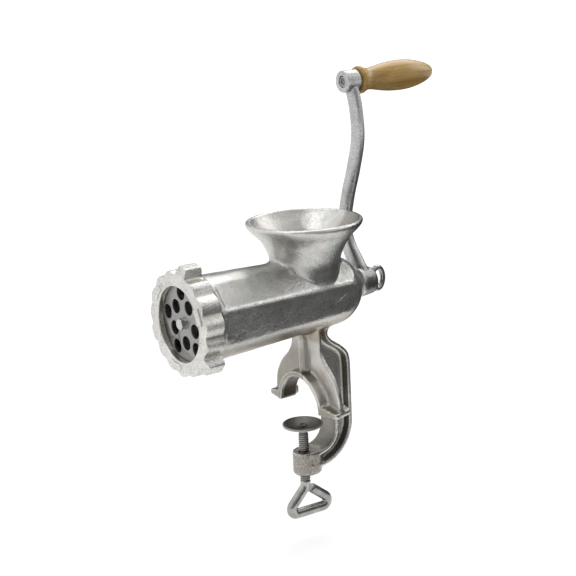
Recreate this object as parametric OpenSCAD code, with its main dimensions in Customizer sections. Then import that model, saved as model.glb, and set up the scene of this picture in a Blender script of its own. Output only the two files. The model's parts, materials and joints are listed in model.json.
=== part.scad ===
// Hand-cranked meat grinder of the clamp-on kind, with a 70 mm grinding plate.
// Frame: the origin is on the clamp screw's axis, at the level of the table top that the two feet stand on.
// +X runs along the barrel from the plate to the crank, +Z is up, and -Y is the side that faces the viewer.

/* [Barrel and hopper] */
// Height of the barrel's axis above the table top
barrel_h = 101; // [96:1:115]
// Distance that the barrel reaches in front of the clamp screw
front_reach = 113.7; // [105:0.1:125]
// Distance that the barrel reaches behind the clamp screw
rear_reach = 61.2; // [58:0.1:70]
// Outer radius of the barrel just behind its threaded neck
barrel_front_r = 36.8; // [35.5:0.1:38]
// Outer radius of the barrel where its rear starts to round
barrel_rear_r = 31.7; // [30.5:0.1:34]
// Radius of the bore at the front, where the worm is widest
bore_front_r = 31.5; // [29:0.1:32]
// Radius of the bore at its closed rear end
bore_rear_r = 27.5; // [25:0.1:28.5]
// Distance of the hopper's axis behind the clamp screw
hopper_back = 11.8; // [5:0.1:18]
// Outer radius of the hopper's rim
rim_r = 51.2; // [45:0.1:52]
// Height of the hopper's rim above the table top
rim_h = 168.4; // [160:0.1:180]
// Radius of the throat where food drops on to the worm
throat_r = 25; // [20:0.1:25.5]
// Thickness of the hopper's wall
hopper_wall = 3.9; // [3:0.1:4.5]

/* [Stand and clamp] */
// Inner radius of the arch between the two feet
arch_r = 27.6; // [24:0.1:29]
// Half the distance over both feet
foot_half_w = 49.5; // [48:0.1:53]
// Half the width of the leg just above the feet
leg_foot_half_w = 47.2; // [44:0.1:47.5]
// Half the width of the leg under the barrel
leg_half_w = 21; // [17:0.1:22]
// Distance from the clamp screw to the wall that stops the table's edge
throat_depth = 28.2; // [24:0.1:32]
// Height of the jaw from the feet down to the screw boss
jaw_h = 42; // [38:0.1:50]
// Half the width of the frame's flanges
flange_half_w = 11.7; // [9:0.1:13]
// Thickness of the frame's flanges
flange_t = 3.8; // [3:0.1:4.5]
// Thickness of the frame's middle web
web_t = 7; // [5:0.1:9]
// Radius of the clamp screw
clamp_r = 4.75; // [4:0.05:5.5]
// Radius of the pressure pad
pad_r = 18.1; // [15:0.1:20]
// Distance of the pad's rim below the table top at rest
pad_gap = 15.8; // [12:0.1:16]

/* [Ring and plate] */
// Radius of the grinding plate
plate_r = 34.9; // [34:0.05:34.95]
// Thickness of the grinding plate
plate_t = 6; // [5:0.1:7]
// Radius of each hole in the plate
plate_hole_r = 6; // [3:0.1:6.2]
// Number of holes in each of the plate's two circles
plate_holes = 5; // [4:1:5]
// Radius of the ring nut's opening
mouth_r = 32; // [30:0.1:32.2]
// Depth of the ring nut along the barrel
ring_depth = 18; // [16:0.1:20]
// Thickness of the lip that holds the plate
ring_lip_t = 6; // [4:0.1:7]
// Radius of the ring nut in the valleys between its lobes
ring_valley_r = 42; // [41.2:0.1:43.2]
// Radius of the ring nut over its lobes
ring_crest_r = 45; // [44:0.1:46.5]
// Radius of the ring nut over its three ears
ring_ear_r = 50.4; // [48:0.1:52]

/* [Worm and knife] */
// Radius of the worm's core at its front
core_front_r = 15; // [12:0.1:17]
// Radius of the worm's core at its rear
core_rear_r = 11.5; // [10.5:0.1:14]
// Radius of the worm's shaft in the rear bearing
shaft_r = 9.4; // [8.5:0.05:10]
// Turns of the worm's flight
flight_turns = 4.5; // [3:0.25:6]
// Thickness of the flight at its edge
flight_edge_t = 3; // [2:0.1:4]
// Thickness of the knife's blades
knife_t = 5.5; // [4:0.1:6.5]
// Radius of the knife over its blades
knife_r = 30; // [27:0.1:31]
// Number of knife blades
knife_blades = 4; // [3:1:6]
// Side of the stud's square that drives the knife
stud_square = 10.4; // [9.6:0.1:11]
// Radius of the stud's tip in the plate
stud_tip_r = 4.7; // [4:0.05:4.75]

/* [Crank and grip] */
// Distance from the barrel's axis to the grip's axis
crank_throw = 179.4; // [160:0.1:200]
// Width of the crank arm in its plane of turning
arm_w = 14.2; // [11:0.1:15]
// Thickness of the crank arm along the barrel
arm_t = 8.8; // [7:0.1:10]
// Radius of the crank's hub at the barrel
hub_r = 13.5; // [13:0.1:15]
// Length of the crank's hub
hub_len = 20; // [18:0.1:24]
// Side of the worm's square end in the hub
drive_square = 12; // [11:0.1:12.4]
// Radius of the boss that holds the grip's spindle
grip_boss_r = 9.7; // [8:0.1:11]
// Length of that boss
grip_boss_len = 14.8; // [12:0.1:16]
// Length of the wooden grip
grip_len = 86.3; // [75:0.1:100]
// Largest radius of the wooden grip
grip_belly_r = 13.4; // [12:0.1:16]
// Radius of the spindle that the grip turns on
spindle_r = 3.6; // [3:0.05:4]
// Radius of the eye screw's thread
eye_screw_r = 3.85; // [3.2:0.05:3.9]

/* [Hidden] */

// Sides of a full circle on large and on small round shapes
round_fn = 96;
small_fn = 48;
// How far a cut runs past the surface that it opens
over = 1;
// Gap between faces that slide or turn on each other
run_gap = 0.06;
// Radial gap of a shaft in its bearing
bearing_gap = 0.08;
// Radial gap that stands for the threads, which are plain here
thread_gap = 0.2;
// Gap round the plate and its key
plate_gap = 0.3;

// Values of the barrel's front
front_x = -front_reach;
thread_gap_ring = 0.4;
neck_wall = 3;
recess_r = plate_r + plate_gap;
neck_r = recess_r + neck_wall;
neck_len = 14.2;
neck_slope = 2.5;
neck_chamfer = 0.8;
recess_len = 13;
facet_start = 4.5;
body_x = front_x + neck_len + neck_slope;

// Values of the barrel's rear
rear_round = 29.2;
rear_flat_r = 12;
rear_power = 1.3;
rear_x = rear_reach;
round_x = rear_x - rear_round;
bearing_len = 12;
bearing_r = shaft_r + bearing_gap;
bore_end_x = rear_x - bearing_len;
bore_bevel = 6.5;
bore_front_x = front_x + recess_len;
facet_mid = 41.5;
facet_half = 22;
panel_mid = -4;
panel_half = 24.6;

// Values of the hopper: pairs of a height share and a flare share, from the barrel up to the rim
hopper_base_h = 124;
hopper_neck_r = 28.9;
flare_shares = [[0, 0], [0.15, 0.02], [0.25, 0.085], [0.35, 0.165], [0.45, 0.26], [0.54, 0.35],
                [0.62, 0.44], [0.72, 0.615], [0.805, 0.8], [0.88, 0.93], [0.93, 0.99], [0.955, 1]];
lip_round = 2.2;
hopper_foot_h = 110;

// Values of the stand
leg_x = 6.2;
leg_t = 4.4;
leg_shoulder_h = 56;
leg_top_h = 80;
// Pairs of a height share and a width share down the leg's edge, from the shoulder to the table
leg_edge_shares = [[1, 0], [0.95, 0.02], [0.86, 0.1], [0.77, 0.25], [0.68, 0.47], [0.59, 0.66], [0.48, 0.81],
                   [0.366, 0.93], [0.223, 0.99], [0.07, 1], [0, 1]];
leg_edge_steps = 2;
arch_rim_t = 5;
arch_x = -3;
arch_depth = 17.6;
rib_r = 5.4;
rib_x = 6.2;
rib_base_h = 29;
rib_top_h = 70;
foot_t = 4.2;
foot_root_t = 8.6;
foot_corner_r = 2.5;
foot_front_x = -3;
foot_back_x = 19.5;
foot_lead = 3;
foot_tail = 3;
spine_back_x = 47.8;
shoulder_h = 30;
neck_back_x = 24.3;
neck_flare = 6;
// Pairs of a share of spine_back_x and a share of shoulder_h, down the rear line of the shoulder
shoulder_shares = [[0.508, 2.18], [0.55, 2.03], [0.632, 1.9], [0.76, 1.76], [0.87, 1.613], [0.944, 1.463],
                   [0.982, 1.297], [1, 1]];
shoulder_steps = 2;
jaw_inner_r = 18;
jaw_outer_r = 37.5;
jaw_turn_h = 20;
crown_fillet_r = 16;
boss_r = 10.4;
boss_back_r = 11.8;
boss_back_x = 4.9;
boss_len = 22;
boss_chamfer = 2.2;
clamp_hole_r = clamp_r + thread_gap;

// Values of the plate, its key pin and the ring nut
lip_gap = run_gap;
plate_proud = 1;
plate_x = front_x - plate_proud;
ring_x = plate_x - lip_gap - ring_lip_t;
inner_circle_r = 16.8;
outer_circle_r = 25.6;
first_hole = 59.3;
key_pin_r = 2;
key_reach = 33.2;
key_depth = 4;
key_angle = -90;
ring_thread_r = neck_r + thread_gap_ring;
ring_lobes = 15;
lobes_per_ear = 5;
first_ear = 80;
ear_half_angle = 6.4;
ear_ramp_angle = 3;
ring_points = 240;
lobe_power = 0.8;
ring_round = 1.6;
mouth_chamfer = 0.8;
face_lugs = 3;
first_lug = 21;
lug_half_angle = 11;
lug_t = 2;
lug_inner_r = 33.4;
lug_outer_r = 40.4;

// Values of the worm
worm_gap = 0.7;
flight_root_t = 6;
flight_front_gap = 2;
flight_rear_gap = 3.5;
flight_steps = 26;
pitch_ease = 0.35;
flight_fade_turns = 0.25;
flight_fade_share = 0.35;
washer_t = 2;
washer_r = 16;
washer_gap = 0.15;
knife_x = plate_x + plate_t + run_gap;
knife_hub_r = 10;
knife_hub_len = 9;
knife_hole_gap = 0.15;
stud_shank_r = 5;
stud_shank_len = 22;
stud_proud = 5;
core_front_x = knife_x + knife_hub_len + run_gap;
core_rear_x = bore_end_x - washer_t - 2 * run_gap;
stud_corner_share = 0.66;
blade_root_w = 12;
blade_tip_w = 8;
blade_lead = 5;
blade_bevel = 2.2;
blade_bevel_angle = 32;
blade_front_share = 0.7;
blade_back_share = 0.6;

// Values of the crank
hub_gap = 3;
arm_set = 9;
arm_x = rear_x + hub_gap + arm_set;
hub_x = rear_x + hub_gap;
hub_end_x = hub_x + hub_len;
hub_rear_r = 9.4;
hub_round = 2.4;
hub_band = 5;
hub_taper_r = 12.5;
hub_dome = 4;
hub_wall = 3.7;
square_gap = 0.15;
square_lead = 1;
square_x = rear_x + square_lead;
square_end_gap = 0.4;
square_end_x = hub_end_x - hub_wall - square_end_gap;
eye_hole_len = 17;
arm_path_shares = [[0, 0], [0.045, 0.09], [0.1, 0.185], [0.12, 0.285], [0.086, 0.43], [0.033, 0.575],
                   [-0.008, 0.725], [-0.001, 0.87], [0.035, 1]];
arm_steps = 6;
arm_sides = 16;
arm_root_share = 1.9;
arm_root_power = 8;
arm_power = 2.6;
grip_side = crank_throw * arm_path_shares[8][0];
grip_h = barrel_h + crank_throw;
grip_boss_x = rear_x + hub_gap;
grip_boss_end_x = grip_boss_x + grip_boss_len;
rivet_r = 5.2;
rivet_depth = 2.4;
rivet_recess_gap = 0.1;
grip_washer_t = 1.2;
grip_washer_r = 8.6;
grip_x = grip_boss_end_x + grip_washer_t + 2 * run_gap;
grip_bore_gap = 0.1;
spindle_in_grip = 64;
// Pairs of a length share and a radius share along the turned grip
grip_shares = [[0, 0.82], [0.012, 0.88], [0.035, 0.905], [0.055, 0.87], [0.085, 0.775], [0.13, 0.715],
               [0.18, 0.725], [0.25, 0.805], [0.33, 0.895], [0.42, 0.965], [0.52, 1], [0.61, 0.995],
               [0.7, 0.94], [0.79, 0.835], [0.87, 0.695], [0.93, 0.55], [0.97, 0.4], [0.992, 0.22], [1, 0]];

// Values of the eye screw
eye_collar_r = 9;
eye_collar_t = 1.8;
eye_wire_r = 2.6;
eye_half_w = 6.4;
eye_half_h = 9.9;
eye_shank_gap = 1.2;
eye_steps = 36;
eye_sides = 12;

// Values of the clamp screw, whose rod is bent into a three-cornered loop, and of its pad
loop_start_z = -73;
thread_proud = 0.15;
loop_rod_r = clamp_r - thread_proud;
loop_neck_bend_r = 8;
loop_bend_r = 5.3;
loop_left_x = -11.3;
loop_left_z = -94.9;
loop_right_x = 18;
loop_right_z = -95.9;
loop_end_x = 6;
loop_end_z = -79.6;
rod_sides = 14;
shoulder_drop = 6.4;
pivot_r = 2.9;
pivot_gap = 0.1;
pivot_head_r = 4.4;
pivot_head_t = 1.5;
pad_t = 1.9;
pad_rim_w = 2;
pad_dish = 2.6;
pad_hub_r = 7;

// Points of an arc about a centre, from one angle to another
function arc(cx, cy, r, a0, a1, n) = [for (i = [0 : n]) let (a = a0 + (a1 - a0) * i / n)
    [cx + r * cos(a), cy + r * sin(a)]];

// Height of a smooth curve through four values, between the middle two
function curve_value(a, b, c, d, t) = 0.5 * (2 * b + (c - a) * t + (2 * a - 5 * b + 4 * c - d) * t * t
    + (3 * b - a - 3 * c + d) * t * t * t);

// A smooth curve through all points of an open path, with a number of steps between two points
function smooth(p, steps) = let (n = len(p) - 1) concat(
    [for (i = [0 : n - 1]) for (s = [0 : steps - 1]) let (t = s / steps,
        a = i == 0 ? 2 * p[0] - p[1] : p[i - 1], d = i == n - 1 ? 2 * p[n] - p[n - 1] : p[i + 2])
        [for (k = [0, 1]) curve_value(a[k], p[i][k], p[i + 1][k], d[k], t)]],
    [p[n]]);

// The unit vector to the left of a path at one of its points
function left_of(p, i, closed) = let (n = len(p),
    a = p[closed ? (i + n - 1) % n : max(i - 1, 0)], b = p[closed ? (i + 1) % n : min(i + 1, n - 1)],
    d = b - a, l = norm(d)) [-d[1] / l, d[0] / l];

// A path moved to its left by a distance
function beside(p, distance) = [for (i = [0 : len(p) - 1]) p[i] + distance * left_of(p, i, false)];

// A number raised to a power with its sign kept
function signed_pow(v, e) = sign(v) * pow(abs(v), e);

// A solid turned about the barrel's direction: the outline holds pairs of a radius and a place along X
module turned(outline, sides = round_fn) {
    rotate([0, 90, 0]) rotate_extrude($fn = sides) polygon(outline);
}

// A round rod along X
module rod_x(x0, x1, r, sides = small_fn) {
    translate([x0, 0, 0]) rotate([0, 90, 0]) cylinder(h = x1 - x0, r = r, $fn = sides);
}

// A square bar along X
module square_x_bar(x0, x1, side) {
    translate([x0, -side / 2, -side / 2]) cube([x1 - x0, side, side]);
}

// A bar that follows a flat path, with a half width and a half thickness for each point
module bar(path, half_w, half_t, sides, power = 2, closed = false) {
    n = len(path);
    points = [for (i = [0 : n - 1]) let (side = left_of(path, i, closed))
        for (k = [0 : sides - 1]) let (a = 360 * (k + 0.5) / sides,
            w = half_w[i] * signed_pow(cos(a), 2 / power), t = half_t[i] * signed_pow(sin(a), 2 / power))
            [path[i][0] + side[0] * w, path[i][1] + side[1] * w, t]];
    rings = closed ? n : n - 1;
    skin = [for (i = [0 : rings - 1]) for (k = [0 : sides - 1]) let (j = (k + 1) % sides,
        a = i * sides + k, b = i * sides + j, c = ((i + 1) % n) * sides + j, d = ((i + 1) % n) * sides + k)
        each [[a, c, b], [a, d, c]]];
    ends = [[for (k = [0 : sides - 1]) k], [for (k = [sides - 1 : -1 : 0]) (n - 1) * sides + k]];
    polyhedron(points, closed ? skin : concat(skin, ends));
}

// Radius of the barrel's outside at a place along X, before its facets
function barrel_r(x) = barrel_front_r + (barrel_rear_r - barrel_front_r) * (x - body_x) / (round_x - body_x);

// Radius of the barrel's bore at a place along X
function bore_r(x) =
    bore_front_r + (bore_rear_r - bore_front_r) * (x - bore_front_x) / (bore_end_x - bore_front_x);

// Slab that cuts one long flat on the tapered barrel, at an angle above the near side's level
module flat_cut(mid, half) {
    start_x = body_x + facet_start - neck_slope;
    depth = barrel_front_r;
    d0 = barrel_r(start_x) * cos(half);
    d1 = barrel_r(rear_x) * cos(half);
    lean = atan((d0 - d1) / (rear_x - start_x));
    rotate([90 - mid, 0, 0]) translate([start_x, -depth, d0]) rotate([0, lean, 0])
        cube([rear_x - start_x + depth, 2 * depth, depth]);
}

// Outside of the barrel: threaded neck, tapered body and rounded rear
module barrel_outside() {
    difference() {
        turned(concat(
            [[0, front_x], [neck_r - neck_chamfer, front_x], [neck_r, front_x + neck_chamfer],
             [neck_r, front_x + neck_len], [barrel_front_r, body_x]],
            [for (i = [0 : 12]) let (a = 90 * i / 12)
                [rear_flat_r + (barrel_rear_r - rear_flat_r) * signed_pow(cos(a), rear_power),
                 round_x + rear_round * sin(a)]],
            [[0, rear_x]]));
        for (side = [0, 1]) mirror([0, side, 0]) {
            flat_cut(facet_mid, facet_half);
            flat_cut(panel_mid, panel_half);
        }
    }
}

// Radius and height of the hopper's outside at one entry of the table of shares
function flare(entry) = [hopper_neck_r + (rim_r - hopper_neck_r) * entry[1],
    hopper_base_h + (rim_h - hopper_base_h) * entry[0]];

// Outside of the hopper, a trumpet with a rounded lip
module hopper_outside() {
    translate([hopper_back, 0, 0]) rotate_extrude($fn = round_fn) polygon(concat(
        [[0, hopper_foot_h], [hopper_neck_r, hopper_foot_h]],
        [for (entry = flare_shares) flare(entry)],
        arc(rim_r - lip_round, rim_h - lip_round, lip_round, 15, 90, 4),
        [[0, rim_h]]));
}

// Inside of the hopper and the throat down to the bore
module hopper_inside() {
    translate([hopper_back, 0, 0]) rotate_extrude($fn = round_fn) polygon(concat(
        [[0, barrel_h], [throat_r, barrel_h], [throat_r, hopper_base_h]],
        [for (entry = flare_shares) let (share = entry[1])
            flare(entry) - [hopper_wall * (1 + share / 4), -hopper_wall * share / 2]],
        [[rim_r - 2 * lip_round + over / 2, rim_h + over], [0, rim_h + over]]));
}

// Space inside the barrel: plate recess, tapered bore with its beveled end, and rear bearing
module barrel_inside() {
    turned([[0, front_x - over], [recess_r, front_x - over], [recess_r, bore_front_x],
            [bore_front_r, bore_front_x], [bore_r(bore_end_x - bore_bevel), bore_end_x - bore_bevel],
            [bore_rear_r - bore_bevel, bore_end_x], [0, bore_end_x]]);
    rod_x(bore_end_x - over, rear_x + over, bearing_r);
}

// Front plate of the stand, which spreads from the barrel to the feet
module leg_plate() {
    side = [for (p = smooth(leg_edge_shares, leg_edge_steps))
        [leg_half_w + (leg_foot_half_w - leg_half_w) * p[1], leg_shoulder_h * p[0]]];
    half = concat([[0, leg_top_h], [leg_half_w, leg_top_h]], side, [[0, 0]]);
    for (s = [0, 1]) mirror([0, s, 0])
        translate([leg_x, 0, 0]) rotate([90, 0, 90]) linear_extrude(leg_t) polygon(half);
}

// Rim round the arch
module arch_rim() {
    intersection() {
        rod_x(arch_x, arch_x + arch_depth, arch_r + arch_rim_t, round_fn);
        translate([arch_x - over, -foot_half_w, 0])
            cube([arch_depth + 2 * over, 2 * foot_half_w, foot_half_w]);
    }
}

// One foot, on the near side, thinner outwards; its inner edge lies inside the arch's rim
module foot() {
    inner_y = -(arch_r + arch_rim_t / 2);
    corner_y = -(foot_half_w - foot_corner_r);
    intersection() {
        linear_extrude(foot_root_t) polygon(concat(
            [[foot_back_x, inner_y], [foot_front_x, inner_y]],
            arc(foot_front_x + foot_lead + foot_corner_r, corner_y, foot_corner_r, 190, 275, 5),
            arc(foot_back_x - foot_corner_r, corner_y + foot_tail, foot_corner_r, 282, 360, 5)));
        translate([foot_front_x - over, 0, 0]) rotate([90, 0, 90])
            linear_extrude(foot_back_x - foot_front_x + 2 * over) polygon([[inner_y + over, -over],
                [-foot_half_w, -over], [-foot_half_w, foot_t], [inner_y + over, foot_root_t]]);
    }
}

// Rear line of the frame in the XZ plane, from the barrel down and round to the boss
spine_rear = concat(
    smooth(concat([[neck_back_x + neck_flare, barrel_h - barrel_rear_r + web_t]],
                  [for (entry = shoulder_shares) [spine_back_x * entry[0], shoulder_h * entry[1]]]),
           shoulder_steps),
    arc(spine_back_x - jaw_outer_r, -jaw_turn_h, jaw_outer_r, 0, -90, 14),
    [[0, -jaw_turn_h - jaw_outer_r]]);
// Front line of the frame, from the boss up the jaw to the crown of the arch
spine_front = concat(
    [[0, -jaw_h]],
    arc(throat_depth - jaw_inner_r, jaw_inner_r - jaw_h, jaw_inner_r, -90, 0, 8),
    arc(throat_depth - crown_fillet_r, crown_fillet_r / 2, crown_fillet_r, 0, 80, 7));

// The C-shaped frame: a middle web with a flange along its rear and one along the jaw
module spine() {
    top = [[leg_x, spine_front[len(spine_front) - 1][1]], [leg_x, leg_top_h], [neck_back_x, leg_top_h]];
    pocket_rear = beside(spine_rear, -flange_t);
    pocket_front = beside(spine_front, -flange_t);
    difference() {
        rotate([90, 0, 0]) linear_extrude(2 * flange_half_w, center = true)
            polygon(concat(spine_rear, spine_front, top));
        for (s = [0, 1]) mirror([0, s, 0]) translate([0, -web_t / 2, 0])
            rotate([90, 0, 0]) linear_extrude(flange_half_w) polygon(concat(pocket_rear, pocket_front,
                [[leg_x, pocket_front[len(pocket_front) - 1][1]], [leg_x, leg_top_h + over],
                 [neck_back_x - flange_t, leg_top_h + over]]));
    }
}

// Boss that the clamp screw runs in
module clamp_boss() {
    for (place = [[0, boss_r], [boss_back_x, boss_back_r]]) {
        r = place[1];
        translate([place[0], 0, -jaw_h - boss_len]) rotate_extrude($fn = small_fn)
            polygon([[0, 0], [r - boss_chamfer, 0], [r, boss_chamfer], [r, boss_len], [0, boss_len]]);
    }
}

// The one-piece casting: barrel, hopper, stand and clamp frame
module body_casting() {
    color([0.74, 0.73, 0.7]) difference() {
        union() {
            translate([0, 0, barrel_h]) barrel_outside();
            hopper_outside();
            difference() {
                union() {
                    leg_plate();
                    arch_rim();
                    for (s = [0, 1]) mirror([0, s, 0]) foot();
                    translate([rib_x, 0, rib_base_h])
                        cylinder(h = rib_top_h - rib_base_h, r = rib_r, $fn = small_fn);
                    spine();
                }
                rod_x(arch_x - over, arch_x + arch_depth, arch_r, round_fn);
            }
            clamp_boss();
        }
        translate([0, 0, barrel_h]) barrel_inside();
        hopper_inside();
        translate([0, 0, -jaw_h - boss_len - over])
            cylinder(h = boss_len + 2 * over, r = clamp_hole_r, $fn = small_fn);
        key_place(neck_r + over, plate_r - key_pin_r);
    }
}

// Round bar through the neck at the plate's key, between two distances from the barrel's axis
module key_place(outer, inner) {
    translate([front_x + key_depth, 0, barrel_h]) rotate([key_angle + 90, 0, 0]) translate([0, 0, -outer])
        cylinder(h = outer - inner, r = key_pin_r, $fn = small_fn);
}

// Pin that stops the plate from turning
module plate_key_pin() {
    color([0.6, 0.6, 0.62]) key_place(neck_r - neck_chamfer, key_reach);
}

// Fibre washer between the worm's shoulder and the barrel's rear wall
module thrust_washer() {
    color([0.45, 0.3, 0.2]) translate([0, 0, barrel_h]) difference() {
        rod_x(bore_end_x - run_gap - washer_t, bore_end_x - run_gap, washer_r, round_fn);
        rod_x(bore_end_x - washer_t - over, bore_end_x + over, shaft_r + washer_gap);
    }
}

// The worm's flight, whose pitch closes up towards the knife
module flight() {
    x_rear = core_rear_x - flight_rear_gap;
    x_front = core_front_x + flight_front_gap;
    n = round(flight_turns * flight_steps);
    points = [for (i = [0 : n]) let (s = i / n, a = 360 * flight_turns * s,
        x = x_rear + (x_front - x_rear) * s * (1 + pitch_ease * (1 - s)),
        root = core_rear_r + (core_front_r - core_rear_r) * s - flight_edge_t / 2,
        fade = min(1, min(s, 1 - s) * flight_turns / flight_fade_turns + flight_fade_share),
        tip = root + (bore_r(x) - worm_gap - root) * fade)
        for (c = [[-flight_root_t, root], [-flight_edge_t, tip], [flight_edge_t, tip], [flight_root_t, root]])
            [x + c[0] / 2, c[1] * cos(a), c[1] * sin(a)]];
    skin = [for (i = [0 : n - 1]) for (k = [0 : 3]) let (j = (k + 1) % 4, a = 4 * i + k, b = 4 * i + j)
        each [[a, b + 4, b], [a, a + 4, b + 4]]];
    polyhedron(points, concat(skin, [[3, 2, 1, 0]], [[4 * n, 4 * n + 1, 4 * n + 2, 4 * n + 3]]));
}

// The worm: core, flight, rear shaft and squared end
module auger() {
    color([0.66, 0.65, 0.63]) translate([0, 0, barrel_h]) difference() {
        union() {
            turned([[0, core_front_x], [core_front_r - over, core_front_x],
                    [core_front_r, core_front_x + over], [core_rear_r, core_rear_x - washer_t],
                    [washer_r - over, core_rear_x - washer_t], [washer_r - over, core_rear_x],
                    [0, core_rear_x]]);
            flight();
            rod_x(core_rear_x - over, square_x, shaft_r);
            intersection() {
                square_x_bar(square_x - over, square_end_x, drive_square);
                rod_x(square_x - over, square_end_x, shaft_r - run_gap);
            }
        }
        rod_x(core_front_x - over, core_front_x + stud_shank_len, stud_shank_r);
        rod_x(square_end_x - eye_hole_len, square_end_x + over, eye_screw_r + thread_gap / 2);
    }
}

// Stud that drives the knife and centres the plate
module auger_stud() {
    tip_x = plate_x - stud_proud;
    color([0.6, 0.6, 0.62]) translate([0, 0, barrel_h]) {
        rod_x(core_front_x, core_front_x + stud_shank_len - over, stud_shank_r);
        difference() {
            square_x_bar(knife_x + run_gap, core_front_x, stud_square);
            for (a = [45 : 90 : 315]) rotate([a, 0, 0])
                translate([knife_x - over, -stud_square, stud_square * stud_corner_share])
                cube([core_front_x - knife_x + 2 * over, 2 * stud_square, stud_square]);
        }
        turned([[0, tip_x], [stud_tip_r - over / 2, tip_x], [stud_tip_r, tip_x + over / 2],
                [stud_tip_r, knife_x + over], [0, knife_x + over]], small_fn);
    }
}

// One blade of the knife, with its rear edge cut to a bevel
module blade() {
    half_w = blade_root_w / 2;
    difference() {
        rotate([90, 0, 90]) linear_extrude(knife_t) polygon([[-half_w, 0], [half_w, 0], [half_w, knife_hub_r],
            [blade_tip_w - blade_lead / 2, knife_r * blade_front_share],
            [blade_tip_w - blade_lead, knife_r + over], [-blade_lead, knife_r + over],
            [-half_w, knife_r * blade_back_share]]);
        translate([knife_t - blade_bevel, -half_w, knife_hub_r + over])
            rotate([0, 0, blade_bevel_angle]) translate([0, -blade_root_w, 0])
            cube([2 * knife_t, 2 * blade_root_w, knife_r]);
    }
}

// The knife: blades on a hub with a square hole, flat on the side of the plate
module knife() {
    color([0.7, 0.71, 0.73]) translate([knife_x, 0, barrel_h]) difference() {
        union() {
            turned([[0, 0], [knife_hub_r, 0], [knife_hub_r, knife_hub_len - over],
                    [knife_hub_r - over, knife_hub_len], [0, knife_hub_len]], small_fn);
            intersection() {
                rod_x(0, knife_t, knife_r, round_fn);
                for (k = [0 : knife_blades - 1]) rotate([360 * k / knife_blades, 0, 0]) blade();
            }
        }
        square_x_bar(-over, knife_hub_len + over, stud_square + 2 * knife_hole_gap);
    }
}

// The plate with its two circles of holes
module grinding_plate() {
    color([0.62, 0.63, 0.64]) translate([plate_x, 0, barrel_h]) difference() {
        rod_x(0, plate_t, plate_r, round_fn);
        rod_x(-over, plate_t + over, stud_tip_r + bearing_gap);
        for (k = [0 : plate_holes - 1]) {
            turn = first_hole + 360 * k / plate_holes;
            for (row = [[inner_circle_r, turn], [outer_circle_r, turn + 180 / plate_holes]])
                translate([0, -row[0] * cos(row[1]), row[0] * sin(row[1])])
                rod_x(-over, plate_t + over, plate_hole_r);
        }
        rotate([key_angle + 90, 0, 0]) translate([-over, -key_pin_r - plate_gap, -plate_r - over])
            cube([plate_t + 2 * over, 2 * (key_pin_r + plate_gap), plate_r + over - key_reach + plate_gap]);
    }
}

// Radius of the ring nut's outline at an angle: lobes in a wave, and an ear in the place of every fifth
function ring_outline_r(a) = let (
    lobe = pow(0.5 + 0.5 * cos(ring_lobes * (a - first_ear)), lobe_power),
    wave = ring_valley_r + (ring_crest_r - ring_valley_r) * lobe,
    span = 360 * lobes_per_ear / ring_lobes,
    off = abs((a - first_ear + 720 + span / 2) % span - span / 2),
    ear = min(1, max(0, (ear_half_angle + ear_ramp_angle - off) / ear_ramp_angle)))
    wave + (ring_ear_r - wave) * ear;

// The ring nut that holds the plate on
module ring_nut() {
    edge = ring_ear_r + over;
    color([0.78, 0.77, 0.74]) translate([ring_x, 0, barrel_h]) difference() {
        union() {
            intersection() {
                rotate([90, 0, 90]) linear_extrude(ring_depth) polygon([for (i = [0 : ring_points - 1])
                    let (a = 360 * i / ring_points, r = ring_outline_r(a)) [-r * cos(a), r * sin(a)]]);
                turned([[0, 0], [ring_crest_r - ring_round, 0],
                        [edge, ring_round * 2], [edge, ring_depth - ring_round],
                        [ring_ear_r - ring_round / 2, ring_depth], [0, ring_depth]]);
            }
            for (k = [0 : face_lugs - 1]) rotate([-first_lug - 360 * k / face_lugs, 0, 0]) face_lug();
        }
        turned([[0, -lug_t - over], [mouth_r + mouth_chamfer, -lug_t - over], [mouth_r + mouth_chamfer, 0],
                [mouth_r, mouth_chamfer], [mouth_r, ring_lip_t], [ring_thread_r, ring_lip_t],
                [ring_thread_r, ring_depth + over], [0, ring_depth + over]]);
    }
}

// One raised lug on the ring nut's face, for a spanner
module face_lug() {
    outline = concat(arc(0, 0, lug_outer_r, 180 - lug_half_angle, 180 + lug_half_angle, 8),
                     arc(0, 0, lug_inner_r, 180 + lug_half_angle, 180 - lug_half_angle, 8));
    translate([-lug_t, 0, 0]) rotate([90, 0, 90]) linear_extrude(lug_t + over) polygon(outline);
}

// Points of the crank arm's middle line in its plane of turning
arm_path = smooth([for (entry = arm_path_shares) crank_throw * entry], arm_steps);

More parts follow.
